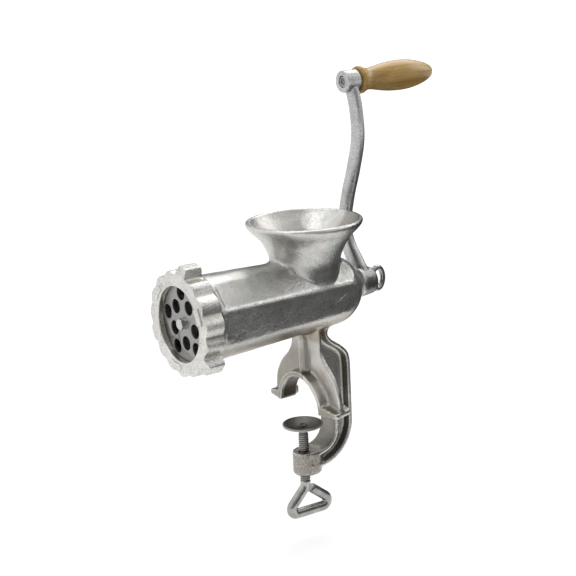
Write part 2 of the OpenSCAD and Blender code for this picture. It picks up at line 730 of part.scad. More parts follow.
// The crank: hub with a square hole, curved arm, and the boss of the grip's spindle
module crank_arm() {
    n = len(arm_path) - 1;
    spread = [for (i = [0 : n]) 1 + (arm_root_share - 1) * pow(1 - i / n, arm_root_power)];
    color([0.7, 0.7, 0.69]) difference() {
        union() {
            translate([arm_x, 0, barrel_h]) rotate([90, 0, 90])
                bar(arm_path, arm_w / 2 * spread, arm_t / 2 * spread, arm_sides, arm_power);
            translate([0, 0, barrel_h]) turned(concat([[0, hub_x], [hub_r - hub_round, hub_x],
                [hub_r, hub_x + hub_round], [hub_r, hub_x + hub_band]],
                [for (i = [0 : 4]) let (a = 90 * i / 4)
                    [hub_rear_r + (hub_taper_r - hub_rear_r) * cos(a), hub_end_x - hub_dome * (1 - sin(a))]],
                [[0, hub_end_x]]), round_fn);
            translate([0, grip_side, grip_h]) turned([[0, grip_boss_x], [grip_boss_r - over / 2, grip_boss_x],
                [grip_boss_r, grip_boss_x + over / 2], [grip_boss_r, grip_boss_end_x - over / 2],
                [grip_boss_r - over / 2, grip_boss_end_x], [0, grip_boss_end_x]], small_fn);
        }
        translate([0, 0, barrel_h]) {
            square_x_bar(hub_x - over, hub_end_x - hub_wall, drive_square + 2 * square_gap);
            rod_x(hub_end_x - hub_wall - over, hub_end_x + over, eye_screw_r + 2 * thread_gap);
        }
        translate([0, grip_side, grip_h]) {
            rod_x(grip_boss_x - over, grip_boss_end_x + over, spindle_r + bearing_gap / 2);
            rod_x(grip_boss_x - over, grip_boss_x + rivet_depth, rivet_r);
        }
    }
}

// Screw with an eye, which holds the crank on the worm
module crank_thumbscrew() {
    eye_x = hub_end_x + eye_collar_t + eye_half_w - eye_wire_r / 2;
    loop = [for (i = [0 : eye_steps - 1]) let (a = 360 * i / eye_steps)
        [eye_x + eye_half_w * cos(a), barrel_h + eye_half_h * sin(a)]];
    wire = [for (p = loop) eye_wire_r];
    shank_x = square_end_x - eye_hole_len + eye_shank_gap;
    collar_x = hub_end_x + run_gap;
    neck_x = hub_end_x + 2 * eye_collar_t;
    color([0.66, 0.66, 0.66]) {
        translate([0, 0, barrel_h]) turned([[0, shank_x], [eye_screw_r, shank_x], [eye_screw_r, collar_x],
            [eye_collar_r, collar_x], [eye_collar_r, hub_end_x + eye_collar_t / 2],
            [eye_collar_r / 2, neck_x], [0, neck_x]], small_fn);
        difference() {
            rotate([90, 0, 0]) bar(loop, wire, wire, eye_sides, 2, true);
            translate([0, 0, barrel_h]) rod_x(hub_x, collar_x, hub_r);
        }
    }
}

// Riveted spindle that the grip turns on
module grip_spindle() {
    head_r = rivet_r - rivet_recess_gap;
    seat_x = grip_boss_x + rivet_depth;
    end_x = grip_x + spindle_in_grip;
    color([0.5, 0.5, 0.52]) translate([0, grip_side, grip_h])
        turned([[0, seat_x - rivet_depth * 2 / 3], [head_r - over, seat_x - rivet_depth * 2 / 3],
                [head_r, seat_x - rivet_depth / 3], [head_r, seat_x], [spindle_r, seat_x],
                [spindle_r, end_x], [0, end_x]], small_fn);
}

// Washer between the crank's boss and the grip
module grip_washer() {
    color([0.45, 0.44, 0.42]) translate([0, grip_side, grip_h]) difference() {
        rod_x(grip_boss_end_x + run_gap, grip_boss_end_x + run_gap + grip_washer_t, grip_washer_r);
        rod_x(grip_boss_end_x, grip_x + over, spindle_r + grip_bore_gap);
    }
}

// Turned wooden grip with a blind bore
module wood_grip() {
    color([0.72, 0.5, 0.22]) translate([grip_x, grip_side, grip_h]) difference() {
        turned(concat([[0, 0]], [for (p = smooth(grip_shares, 3)) [grip_belly_r * p[1], grip_len * p[0]]]));
        rod_x(-over, spindle_in_grip + over, spindle_r + grip_bore_gap);
    }
}

// Middle line of the clamp screw's bent handle, in the XZ plane
loop_path = concat(
    [[0, loop_start_z + 2 * over]],
    arc(-loop_neck_bend_r, loop_start_z, loop_neck_bend_r, 0, -44, 4),
    arc(loop_left_x, loop_left_z, loop_bend_r, 136, 267, 8),
    arc(loop_right_x, loop_right_z, loop_bend_r, 267, 411, 9),
    [[loop_end_x, loop_end_z]]);

// Clamp screw with its bent handle, the pivot for the pad and the pivot's riveted head
module clamp_screw() {
    pad_hub_z = -pad_gap - pad_dish;
    rod_top_z = -pad_gap - shoulder_drop;
    head_z = pad_hub_z + pivot_head_t;
    rod = [for (p = loop_path) loop_rod_r];
    color([0.64, 0.64, 0.64]) {
        translate([0, 0, loop_start_z + over])
            cylinder(h = rod_top_z - loop_start_z - over, r = clamp_r, $fn = small_fn);
        rotate_extrude($fn = small_fn) polygon([[0, rod_top_z - over], [pivot_r, rod_top_z - over],
            [pivot_r, pad_hub_z + run_gap], [pivot_head_r, pad_hub_z + run_gap],
            [pivot_head_r - over / 2, pad_hub_z + pivot_head_t / 2], [pivot_r, head_z], [0, head_z]]);
        rotate([90, 0, 0]) bar(loop_path, rod, rod, rod_sides);
    }
}

// Dished pressure pad under the table top
module clamp_pad() {
    top = -pad_gap;
    hub_top = top - pad_dish;
    rod_top_z = top - shoulder_drop;
    color([0.56, 0.56, 0.55]) difference() {
        rotate_extrude($fn = round_fn) polygon([[0, rod_top_z + run_gap],
            [pad_hub_r - over, rod_top_z + run_gap], [pad_hub_r, rod_top_z + over],
            [pad_hub_r + over, hub_top - pad_t], [pad_r, top - pad_t], [pad_r, top],
            [pad_r - pad_rim_w, top], [pad_hub_r, hub_top], [0, hub_top]]);
        translate([0, 0, rod_top_z - over])
            cylinder(h = shoulder_drop + 2 * over, r = pivot_r + pivot_gap, $fn = small_fn);
    }
}

body_casting();
plate_key_pin();
thrust_washer();
auger();
auger_stud();
knife();
grinding_plate();
ring_nut();
crank_arm();
crank_thumbscrew();
grip_spindle();
grip_washer();
wood_grip();
clamp_screw();
clamp_pad();
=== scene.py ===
# %% [markdown]
# # A clamp-on meat grinder in tinned cast iron
#
# This lesson dresses a finished construction model. The construction already holds every piece at its real
# size and place, so nothing here is moved or resized. What is added is what the eye looks for: corners
# rounded by the sand mould, a tin coat with its grain, a varnished wooden grip, threads and soft light.

# %% Load the construction
import json
import math

import bpy
import numpy as np
from mathutils import Matrix, Vector

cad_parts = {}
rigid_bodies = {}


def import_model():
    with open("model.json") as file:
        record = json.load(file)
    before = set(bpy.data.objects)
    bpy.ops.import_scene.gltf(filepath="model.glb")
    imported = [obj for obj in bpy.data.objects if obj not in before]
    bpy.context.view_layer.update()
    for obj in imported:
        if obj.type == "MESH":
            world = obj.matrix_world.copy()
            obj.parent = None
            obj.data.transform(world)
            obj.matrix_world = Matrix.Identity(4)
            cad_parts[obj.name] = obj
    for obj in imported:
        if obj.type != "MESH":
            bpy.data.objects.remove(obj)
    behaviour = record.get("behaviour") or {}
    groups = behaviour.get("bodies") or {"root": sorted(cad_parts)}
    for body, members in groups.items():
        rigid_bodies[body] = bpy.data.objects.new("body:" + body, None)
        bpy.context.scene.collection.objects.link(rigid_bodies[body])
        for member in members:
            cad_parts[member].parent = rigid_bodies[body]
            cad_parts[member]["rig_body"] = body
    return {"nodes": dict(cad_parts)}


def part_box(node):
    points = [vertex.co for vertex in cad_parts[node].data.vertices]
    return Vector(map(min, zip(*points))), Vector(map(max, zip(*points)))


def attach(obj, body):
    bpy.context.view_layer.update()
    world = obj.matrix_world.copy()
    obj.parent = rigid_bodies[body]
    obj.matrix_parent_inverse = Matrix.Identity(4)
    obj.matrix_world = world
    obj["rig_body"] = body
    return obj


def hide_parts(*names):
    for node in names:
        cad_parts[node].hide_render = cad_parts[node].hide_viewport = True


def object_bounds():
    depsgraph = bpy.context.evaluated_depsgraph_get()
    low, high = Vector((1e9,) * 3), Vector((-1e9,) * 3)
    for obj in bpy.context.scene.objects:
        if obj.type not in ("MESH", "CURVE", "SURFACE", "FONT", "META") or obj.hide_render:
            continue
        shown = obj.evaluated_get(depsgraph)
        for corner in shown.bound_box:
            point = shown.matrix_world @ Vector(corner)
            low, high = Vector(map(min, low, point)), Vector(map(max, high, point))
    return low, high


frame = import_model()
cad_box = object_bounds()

MM = 0.001
print("The construction measures", [round((high - low) / MM, 1) for low, high in zip(*cad_box)], "mm")

# %% [markdown]
# ## The grinder's main lines
#
# Most places are read from the construction's own boxes. The few that a box can't tell, such as the middle of
# the hopper, are written once here, in metres. Places count from the clamp screw's axis at the table's top.

# %% Axes and radii
plate_low, plate_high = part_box("grinding_plate")
BARREL_Z = (plate_low.z + plate_high.z) / 2
BARREL_FRONT_X = -113.7 * MM
BARREL_REAR_X = 61.2 * MM
BARREL_FRONT_R = 36.8 * MM
BARREL_REAR_R = 31.7 * MM
BORE_FRONT_R = 31.5 * MM
BORE_REAR_R = 27.5 * MM
NECK_STEP_R = 37 * MM
NECK_LENGTH = 15 * MM
HOPPER_X = 11.8 * MM
HOPPER_NECK_R = 28.9 * MM
HOPPER_BASE_Z = 124 * MM
HOPPER_BEND_Z = 188 * MM
STAND_TOP_Z = 72 * MM
RIB_X = 6.2 * MM
RIB_R = 5.4 * MM
RIB_LOW_Z = 33 * MM
ARCH_R = 27.6 * MM
CLEAR_OF_SCREW_R = 6 * MM
BOSS_R = 14 * MM
BOSS_TOP_Z = -37 * MM
print("The barrel's axis lies", round(BARREL_Z / MM, 1), "mm above the table top")

# %% Threads
NECK_PITCH = 3 * MM
EYE_PITCH = 1.25 * MM
CLAMP_PITCH = 2 * MM
ROD_R = 4.75 * MM
ROD_ROOT_R = 3.95 * MM
ROD_THREAD_LOW_Z = -71 * MM
ROD_THREAD_END = 2 * MM
print("The clamp screw's thread is cut", round((ROD_R - ROD_ROOT_R) / MM, 2), "mm deep")

# %% [markdown]
# ## Tools for the meshes
#
# Blender's operators act on whatever is selected. A small helper that selects only the pieces in hand
# saves many surprises, because loading leaves the construction's own meshes selected.

# %% Selecting and finishing
def pick(*chosen):
    """Selects these pieces alone and makes the first one active."""
    bpy.ops.object.select_all(action="DESELECT")
    for piece in chosen:
        piece.select_set(True)
    bpy.context.view_layer.objects.active = chosen[0]


def modify(piece, kind, **settings):
    """Adds a modifier to a piece and applies it at once."""
    pick(piece)
    modifier = piece.modifiers.new(kind.title(), kind)
    for name, value in settings.items():
        setattr(modifier, name, value)
    bpy.ops.object.modifier_apply(modifier=modifier.name)


def settle(piece):
    """Puts a piece's place into its mesh, so that its object sits unturned at the origin."""
    pick(piece)
    bpy.ops.object.transform_apply(location=True, rotation=True, scale=True)


def merged_copy(node, name):
    """A piece of its own with a node's shape, its loose triangles joined into one skin."""
    piece = bpy.data.objects.new(name, frame["nodes"][node].data.copy())
    bpy.context.scene.collection.objects.link(piece)
    piece.data.materials.clear()
    pick(piece)
    bpy.ops.mesh.customdata_custom_splitnormals_clear()
    bpy.ops.object.mode_set(mode="EDIT")
    bpy.ops.mesh.select_all(action="SELECT")
    bpy.ops.mesh.remove_doubles(threshold=0.002 * MM)
    bpy.ops.object.mode_set(mode="OBJECT")
    return piece


def stand_for(piece, node):
    """Shows a piece in the place of a node, on that node's body."""
    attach(piece, frame["nodes"][node]["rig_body"])
    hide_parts(node)
    print(piece.name, "has", len(piece.data.polygons), "faces and stands for", node)


# %% [markdown]
# ## From sharp solids to castings
#
# A sand casting has no sharp corner. Its outside corners are worn round in the mould, and its inside corners
# are filled on purpose, because iron cracks at a sharp one. A voxel remesh gives the whole solid an even skin
# of small squares. Smoothing that skin rounds every edge alike. A second, stronger smoothing is kept only
# where it moves the skin outwards, which fills the inside corners and leaves the outside ones alone.

# %% Cast corners
def places(piece):
    """The places of a mesh's points as an array of rows."""
    flat = np.empty(3 * len(piece.data.vertices), np.float32)
    piece.data.vertices.foreach_get("co", flat)
    return flat.reshape(-1, 3)


def outward(piece):
    """The outward directions of a mesh's points as an array of rows."""
    return np.array([corner.vector for corner in piece.data.vertex_normals], np.float32)


def put(piece, rows):
    """Moves a mesh's points to the rows of an array."""
    piece.data.vertices.foreach_set("co", rows.astype(np.float32).ravel())
    piece.data.update()


def remesh(piece, voxel, rounding):
    """Gives a piece an even skin and rounds its edges."""
    modify(piece, "REMESH", mode="VOXEL", voxel_size=voxel, use_smooth_shade=True)
    modify(piece, "SMOOTH", factor=0.5, iterations=rounding)


def fill_corners(piece, repeats, share, most):
    """Fills the inside corners, by at most a distance, in the share that each point is given."""
    before, normals = places(piece), outward(piece)
    modify(piece, "SMOOTH", factor=0.5, iterations=repeats)
    rise = np.clip(((places(piece) - before) * normals).sum(axis=1), 0, most)
    put(piece, before + normals * (rise * share)[:, None])


def soften(piece, repeats, share):
    """Smooths a skin, in the share that each point is given."""
    before = places(piece)
    modify(piece, "SMOOTH", factor=0.5, iterations=repeats)
    put(piece, before + (places(piece) - before) * share[:, None])


def uneven(piece, size, height):
    """Makes a surface gently uneven, as the sand of a mould is."""
    texture = bpy.data.textures.new(piece.name + "_sand", "CLOUDS")
    texture.noise_scale = size
    texture.noise_depth = 2
    modify(piece, "DISPLACE", texture=texture, texture_coords="LOCAL", strength=height, mid_level=0.5)


def thin_out(piece, triangles):
    """Brings a piece down to a number of triangles, where it has more."""
    count = sum(len(face.vertices) - 2 for face in piece.data.polygons)
    if count > triangles:
        modify(piece, "DECIMATE", ratio=triangles / count, use_collapse_triangulate=True)


def ease(value, low, high):
    """A share that grows smoothly from 0 at one value to 1 at another."""
    share = np.clip((value - low) / (high - low), 0, 1)
    return share * share * (3 - 2 * share)


# %% [markdown]
# ## Tools for the materials
#
# A material is a little sum: noise here, a mask there, one colour times another. Written as nodes by hand it
# is hard to read, so a node's output is wrapped in a class that understands plus, minus and times.

# %% Shader sums
class Value:
    """The output of a node, which can be used in sums."""

    def __init__(self, finish, socket):
        self.finish, self.socket = finish, socket

    def sum(self, operation, *values):
        """One step of arithmetic on some values."""
        return self.finish.node("ShaderNodeMath", dict(enumerate(values)), operation=operation)

    def __add__(self, other):
        return self.sum("ADD", self, other)

    def __sub__(self, other):
        return self.sum("SUBTRACT", self, other)

    def __rsub__(self, other):
        return self.sum("SUBTRACT", other, self)

    def __mul__(self, other):
        return self.sum("MULTIPLY", self, other)

    __radd__ = __add__
    __rmul__ = __mul__

    def __abs__(self):
        return self.sum("ABSOLUTE", self)

    def between(self, low, high):
        """0 at one value and 1 at another, with a soft start and end."""
        sockets = dict(enumerate([self, low, high, 0.0, 1.0]))
        return self.finish.node("ShaderNodeMapRange", sockets, interpolation_type="SMOOTHSTEP")


class Finish:
    """A material, or a light's colour, and the nodes that make it."""

    def __init__(self, name, owner=None):
        self.owner = owner or bpy.data.materials.new(name)
        self.owner.use_nodes = True
        self.tree = self.owner.node_tree
        self.tree.nodes.clear()

    def node(self, kind, sockets=None, output=0, **settings):
        """Adds a node, sets it up, fills its sockets by name or number, and gives one of its outputs."""
        node = self.tree.nodes.new(kind)
        for name, value in settings.items():
            setattr(node, name, value)
        for place, value in (sockets or {}).items():
            if isinstance(value, Value):
                self.tree.links.new(value.socket, node.inputs[place])
            else:
                node.inputs[place].default_value = value
        return Value(self, node.outputs[output] if len(node.outputs) else None)

    def point(self):
        """The place on the piece, in metres."""
        return self.node("ShaderNodeTexCoord", output="Object")

    def axes(self):
        """The three coordinates of the place on the piece."""
        point = self.point()
        return [self.node("ShaderNodeSeparateXYZ", {0: point}, output=letter) for letter in "XYZ"]

    def length(self, *coordinates):
        """The distance from an axis, out of its coordinates."""
        total = coordinates[0] * coordinates[0]
        for part in coordinates[1:]:
            total = total + part * part
        return total.sum("SQRT", total)

    def thread(self, along, first, second, pitch):
        """The height of a screw thread, from 0 in its groove to 1 on its crest."""
        turn = first.sum("ARCTAN2", first, second) * (0.5 / math.pi)
        return 2 * turn.sum("PINGPONG", along * (1 / pitch) + turn, 0.5)

    def facing(self):
        """The direction that the surface faces, on the piece."""
        return self.node("ShaderNodeTexCoord", output="Normal")

    def dot(self, first, second):
        """How much of one direction lies along another."""
        both = {0: first, 1: second}
        return self.node("ShaderNodeVectorMath", both, output="Value", operation="DOT_PRODUCT")

    def noise(self, size, detail=3.0, rough=0.55, stretch=(1, 1, 1), twist=0.0):
        """Soft noise with spots of about this size, drawn out by a factor in each direction."""
        scale = [1 / (size * factor) for factor in stretch]
        place = self.node("ShaderNodeMapping", {"Vector": self.point(), "Scale": scale})
        sockets = {"Vector": place, "Scale": 1.0, "Detail": detail, "Roughness": rough, "Distortion": twist}
        return self.node("ShaderNodeTexNoise", sockets)

    def mix(self, share, first, second):
        """One colour where the share is 0 and another where it is 1."""
        return self.node("ShaderNodeMix", {0: share, 6: first, 7: second}, output=2, data_type="RGBA")

    def bump(self, height, distance):
        """A surface that rises by this distance where the height grows by 1."""
        return self.node("ShaderNodeBump", {"Height": height, "Distance": distance, "Strength": 1.0})

    def surface(self, sockets):
        """Ends the material in a Principled shader."""
        shader = self.node("ShaderNodeBsdfPrincipled", sockets)
        self.node("ShaderNodeOutputMaterial", {"Surface": shader})
        return self.owner


def colour(red, green, blue):
    """An opaque colour."""
    return (red, green, blue, 1.0)


def wear(piece, material):
    """Gives a piece its material."""
    piece.data.materials.clear()
    piece.data.materials.append(material)


# %% [markdown]
# ## Tin on cast iron
#
# The castings are dipped in molten tin. It fills the finest pores but not the sand's grain, and it stays thin
# on edges, where it is rubbed bright. So the colour drifts in patches of a centimetre or two, and the grain is
# a bump with dark pits and with bright specks, which are painted glints. Edges and corners are found with the
# pointiness of the skin: edges get a painted highlight along with their wear, and corners get painted shade.
# One class makes this coat, and each casting then gets stains, tints and painted light and shade in its own
# places.

# %% The tin coat
class Tin(Finish):
    """A tin coat: two tones, a roughness, its grain's height, how dark its pits are, and how dark the painted
    shade in its corners is.
    """

    def __init__(self, name, light, dark, gloss, grain, pits=0.65, hollow_shade=0.5):
        super().__init__(name)
        patches = self.noise(16 * MM, detail=4.0).between(0.35, 0.65)
        self.sand = self.noise(1.5 * MM, detail=3.0, rough=0.68)
        self.waves = self.noise(6 * MM, detail=2.0)
        glints = self.noise(1.0 * MM, detail=2.0, rough=0.6).between(0.56, 0.70)
        corner = self.node("ShaderNodeNewGeometry", output="Pointiness")
        self.edge, self.hollow = corner.between(0.51, 0.57), corner.between(0.485, 0.42)
        self.tone = self.mix(patches, colour(*dark), colour(*light))
        self.stain(self.sand.between(0.52, 0.34) * pits, [part * 0.45 for part in dark])
        # Bright specks are painted glints on the grain.
        self.stain(glints * 0.6, (0.84, 0.83, 0.80))
        # Painted shade darkens the hollow corners.
        self.stain(self.hollow * hollow_shade, (0.07, 0.066, 0.058))
        # Edges get a painted highlight, along with their wear.
        self.stain(self.edge * 0.65, (0.86, 0.85, 0.82))
        self.rough = gloss + 0.20 * (self.waves - 0.5) + 0.16 * (self.sand - 0.5) - 0.06 * self.edge
        self.height = (self.sand + 1.2 * self.waves) * grain

    def stain(self, share, tone):
        """Covers the coat with another tone, where the share is 1."""
        self.tone = self.mix(share, self.tone, colour(*tone))

    def tint(self, share, tone):
        """Multiplies the coat's tone, where the share is 1."""
        self.tone = self.node("ShaderNodeMix", {0: share, 6: self.tone, 7: colour(*tone)}, output=2,
                              data_type="RGBA", blend_type="MULTIPLY")

    def done(self):
        """Ends the coat and gives its material."""
        return self.surface({"Base Color": self.tone, "Metallic": 1.0, "Roughness": self.rough,
                             "Normal": self.bump(self.height, 1.0)})


# %% [markdown]
# The big casting is not one colour, so its coat is made in steps. First come the tin and painted shade in its
# corners. The barrel's long edges are corners too, but they get no painted shade.

# %% The big casting's coat
body = Tin("casting_tin", (0.60, 0.595, 0.575), (0.51, 0.505, 0.485), 0.33, 0.26 * MM, pits=0.35, hollow_shade=0)
x, y, z = body.axes()
from_axis = body.length(y, z - BARREL_Z)
off_barrel = from_axis.between(38 * MM, 40 * MM)
# Painted shade in the corners away from the barrel.
body.stain(body.hollow * off_barrel * 0.3, (0.07, 0.066, 0.058))

# %% [markdown]
# The hopper is the brightest part. Soft upright bands, warmer and greener, are painted reflections drawn as
# trickles of tin, and its side towards the crank is darker with painted shade.

# %% The hopper's coat
reflection_bands = body.noise(11 * MM, detail=2.0, stretch=(1, 1, 7))
on_hopper = z.between(HOPPER_BASE_Z - 8 * MM, HOPPER_BASE_Z)
body.stain(on_hopper * 0.35, (0.78, 0.775, 0.76))
# Painted shade on the hopper's side towards the crank.
shaded_side = x.between(HOPPER_X + 8 * MM, HOPPER_X + 24 * MM) * y.between(4 * MM, -4 * MM)
body.tint(on_hopper * shaded_side * z.between(HOPPER_BEND_Z, HOPPER_BEND_Z - 6 * MM), (0.56, 0.56, 0.55))
# Painted reflections: soft upright bands on the hopper, warmer and greener.
body.tint(on_hopper * reflection_bands.between(0.50, 0.66), (0.97, 0.92, 0.88))
body.tint(on_hopper * reflection_bands.between(0.50, 0.34), (0.86, 0.88, 0.85))

# %% [markdown]
# The stand and the clamp are darker and browner, as painted shade low down. Their flat sides that face across
# the barrel are painted lighter, the jaw's other faces darker and cooler, and the stand's edges get painted
# highlights along with their wear. The leg's near half is lighter, and the screw's boss keeps a sandy grain.

# %% The coat of the stand and the clamp
on_stand = z.between(STAND_TOP_Z, STAND_TOP_Z - 26 * MM)
on_boss = body.length(x, y).between(BOSS_R + 2 * MM, BOSS_R) * z.between(BOSS_TOP_Z + 3 * MM, BOSS_TOP_Z)
side = abs(body.dot(body.facing(), (0, 1, 0))).between(0.55, 0.85) * (1 - on_boss)
# Painted shade: the stand and the clamp are darker and browner.
body.tint(on_stand, (0.56, 0.53, 0.485))
# Painted light: the flat sides that face across the barrel are lighter.
body.stain(on_stand * side * 0.75, (0.66, 0.65, 0.62))
on_jaw = z.between(4 * MM, -12 * MM)
# Painted shade: the jaw's other faces are darker and cooler.
body.tint(on_jaw * (1 - side) * (1 - on_boss), (0.74, 0.75, 0.76))
body.stain(on_boss * body.sand.between(0.50, 0.64) * 0.30, (0.78, 0.77, 0.74))
body.stain(on_boss * body.sand.between(0.48, 0.34) * 0.22, (0.20, 0.195, 0.185))
# Painted highlight on the stand's edges, along with their wear.
body.stain(on_stand * body.edge * 0.6, (0.80, 0.79, 0.76))
# The leg's near half is lighter.
near_half = x.between(9 * MM, 7.5 * MM) * y.between(-7.5 * MM, -9 * MM) * z.between(4 * MM, 12 * MM)
body.stain(on_stand * near_half * (1 - side) * 0.6, (0.74, 0.72, 0.68))

# %% [markdown]
# The leg's rib has painted shade along its near flank, and painted highlights on its crown and beside the
# shade.
# The inside of the arch is painted dark brown, as painted shade.

# %% The coat of the rib and the arch
on_rib = body.length(x - RIB_X, y).between(RIB_R + 1.2 * MM, RIB_R + 0.6 * MM)
on_rib = on_rib * z.between(RIB_LOW_Z, RIB_LOW_Z + 4 * MM) * z.between(STAND_TOP_Z, STAND_TOP_Z - 6 * MM)
# Painted shade on the rib's near flank, and painted highlights on its crown and beside the shade.
for middle, reach, core, strength, tone in ((-5.2, 2.4, 0.9, 0.7, (0.10, 0.095, 0.085)),
                                            (2.8, 1.8, 0.5, 0.8, (0.90, 0.89, 0.86)),
                                            (-7.9, 1.2, 0.3, 0.6, (0.80, 0.79, 0.76))):
    line = abs(y - middle * MM).between(reach * MM, core * MM)
    body.stain(on_rib * line * strength, tone)
# Painted shade: the inside of the arch is dark brown.
in_arch = body.length(y, z).between(ARCH_R + 1.2 * MM, ARCH_R + 0.5 * MM) * z.between(0, 3 * MM)
body.stain(in_arch * x.between(-1 * MM, 0.5 * MM) * x.between(17 * MM, 15 * MM), (0.10, 0.082, 0.065))

# %% [markdown]
# The barrel's edge between its side panel and the facet above it gets a painted highlight. The facets above
# are a little darker and the underside is warmer and darker, both with painted shade. The neck behind the ring
# nut is painted darker, as painted shade, and carries the thread, which shows when the ring is off.

# %% The coat of the barrel and its neck
slope = (z - BARREL_Z).sum("ARCTAN2", z - BARREL_Z, abs(y))
# Painted shade: the facets above are a little darker.
above = slope.between(math.radians(24), math.radians(28)) * from_axis.between(42 * MM, 39 * MM)
body.tint(above, (0.84, 0.845, 0.84))
# Painted highlight along the edge between the side panel and the facet above it.
edge_line = abs(slope - math.radians(21)).between(math.radians(4.5), math.radians(1.5))
edge_line = edge_line * x.between(-96 * MM, -88 * MM) * x.between(50 * MM, 40 * MM)
body.stain(edge_line * body.sand.between(0.36, 0.50) * 0.9, (0.92, 0.91, 0.88))
# Painted shade: the underside is warmer and darker.
below = slope.between(math.radians(-30), math.radians(-46)) * z.between(60 * MM, 64 * MM)
body.tint(below, (0.72, 0.65, 0.57))
neck_end_x = BARREL_FRONT_X + NECK_LENGTH
on_neck = x.between(neck_end_x, neck_end_x - 1.5 * MM)
on_neck = on_neck * from_axis.between(NECK_STEP_R, NECK_STEP_R + 0.6 * MM)
# Painted shade on the neck behind the ring nut.
body.stain(on_neck * 0.5, (0.30, 0.29, 0.27))
body.height = body.height + body.thread(x, y, z - BARREL_Z, NECK_PITCH) * on_neck * (0.7 * MM)
casting_tin = body.done()
print("The big casting's coat takes", len(body.tree.nodes), "nodes")

# %% [markdown]
# The ring nut's lobes are rough from the sand, with painted glints and dark grain, and the hollows between
# them are smoother, with a little greenish painted shade. The distance from the barrel's axis tells one from
# the other.

# %% The ring nut's coat
LOBE_LOW_R = 43.2 * MM
RING_FACE_X = -120 * MM
nut = Tin("ring_tin", (0.78, 0.765, 0.73), (0.65, 0.635, 0.605), 0.39, 0.16 * MM, pits=0.6, hollow_shade=0.6)
x, y, z = nut.axes()
from_axis = nut.length(y, z - BARREL_Z)
on_lobe = from_axis.between(LOBE_LOW_R, LOBE_LOW_R + 1.4 * MM)
crust = nut.noise(1.3 * MM, detail=3.0, rough=0.7)
# Painted glints: bright spots on the lobes, with dark grain beside them.
nut.stain(on_lobe * crust.between(0.50, 0.62) * 0.7, (0.86, 0.85, 0.82))
nut.stain(on_lobe * crust.between(0.46, 0.36) * 0.6, (0.26, 0.255, 0.245))
shaded_gaps = from_axis.between(LOBE_LOW_R + 0.2 * MM, LOBE_LOW_R - 0.8 * MM)
# Painted shade, a little greenish, in the hollows between the lobes.
nut.tint(shaded_gaps * x.between(RING_FACE_X, RING_FACE_X + 1.5 * MM), (0.88, 0.89, 0.84))
nut.height = nut.height + on_lobe * crust * (0.55 * MM)
ring_tin = nut.done()
print("The ring nut's coat takes", len(nut.tree.nodes), "nodes")

# %% [markdown]
# The crank is greyer and finer. A dark ring of painted shade goes round the spindle's head, and the hub is
# darker. The worm is dark all over.

# %% The coats of the crank and the worm
GRIP_Y = 6.28 * MM
GRIP_Z = 280.4 * MM
SHADE_RING_R = 4.9 * MM
HUB_R = 17 * MM
arm = Tin("crank_tin", (0.54, 0.54, 0.54), (0.43, 0.43, 0.43), 0.36, 0.09 * MM)
x, y, z = arm.axes()
shaded_ring = arm.length(y - GRIP_Y, z - GRIP_Z).between(SHADE_RING_R, SHADE_RING_R - 0.6 * MM)
# Painted shade: a dark ring round the spindle's head.
arm.stain(shaded_ring * x.between(67 * MM, 66 * MM) * 0.6, (0.16, 0.158, 0.15))
# The hub is darker.
on_hub = arm.length(y, z - BARREL_Z).between(HUB_R, HUB_R - 2 * MM) * x.between(68 * MM, 70 * MM)
arm.tint(on_hub, (0.62, 0.62, 0.60))
crank_tin = arm.done()
worm_tin = Tin("worm_tin", (0.26, 0.255, 0.24), (0.17, 0.165, 0.155), 0.42, 0.12 * MM).done()
print("The crank's coat takes", len(arm.tree.nodes), "nodes")

# %% [markdown]
# ## The casting
#
# Barrel, hopper, stand and clamp frame are one iron casting. Its skin is rebuilt in squares of a millimetre.
# Nothing may be filled in the barrel's bore or round the screw's hole, so these distances tell where they are.

# %% Distances on the casting
def past_barrel(rows, wall_share):
    """How far points are past the barrel's bore, its outside, or a share of the wall between them."""
    along = np.clip((rows[:, 0] - BARREL_FRONT_X) / (BARREL_REAR_X - BARREL_FRONT_X), 0, 1)
    outside = BARREL_FRONT_R + (BARREL_REAR_R - BARREL_FRONT_R) * along
    bore = BORE_FRONT_R + (BORE_REAR_R - BORE_FRONT_R) * along
    return np.hypot(rows[:, 1], rows[:, 2] - BARREL_Z) - (bore + (outside - bore) * wall_share)


def past_upright(rows, middle_x, radius):
    """How far points are past an upright cylinder."""
    return np.hypot(rows[:, 0] - middle_x, rows[:, 1]) - radius


def beside_rib(rows, low, high):
    """Which points are on the leg's rib or close to it, between two heights."""
    across = (np.abs(rows[:, 1]) < 12 * MM) & (rows[:, 0] < 8 * MM)
    return across & (rows[:, 2] > low) & (rows[:, 2] < high)


# %% [markdown]
# The first filling is small and goes everywhere, but the leg's rib keeps its relief.

# %% Round the casting
casting = merged_copy("body_casting", "casting")
remesh(casting, voxel=1.0 * MM, rounding=2)
rows = places(casting)
outside = ease(past_barrel(rows, 0.5), 0, 1.5 * MM)
clear_of_screw = ease(past_upright(rows, 0, CLEAR_OF_SCREW_R), 0, 2 * MM)
clear_of_screw = np.where(rows[:, 2] < BOSS_TOP_Z + 2 * MM, clear_of_screw, 1)
keep_rib = np.where(beside_rib(rows, RIB_LOW_Z, STAND_TOP_Z - 6 * MM), 0.1, 1)
fill_corners(casting, repeats=26, share=outside * clear_of_screw * keep_rib, most=2 * MM)

# %% [markdown]
# The second and third are wide: one where the leg meets the barrel, and one where the hopper grows out of it.
# The barrel's facets are then softened, and the whole skin is made a little uneven.

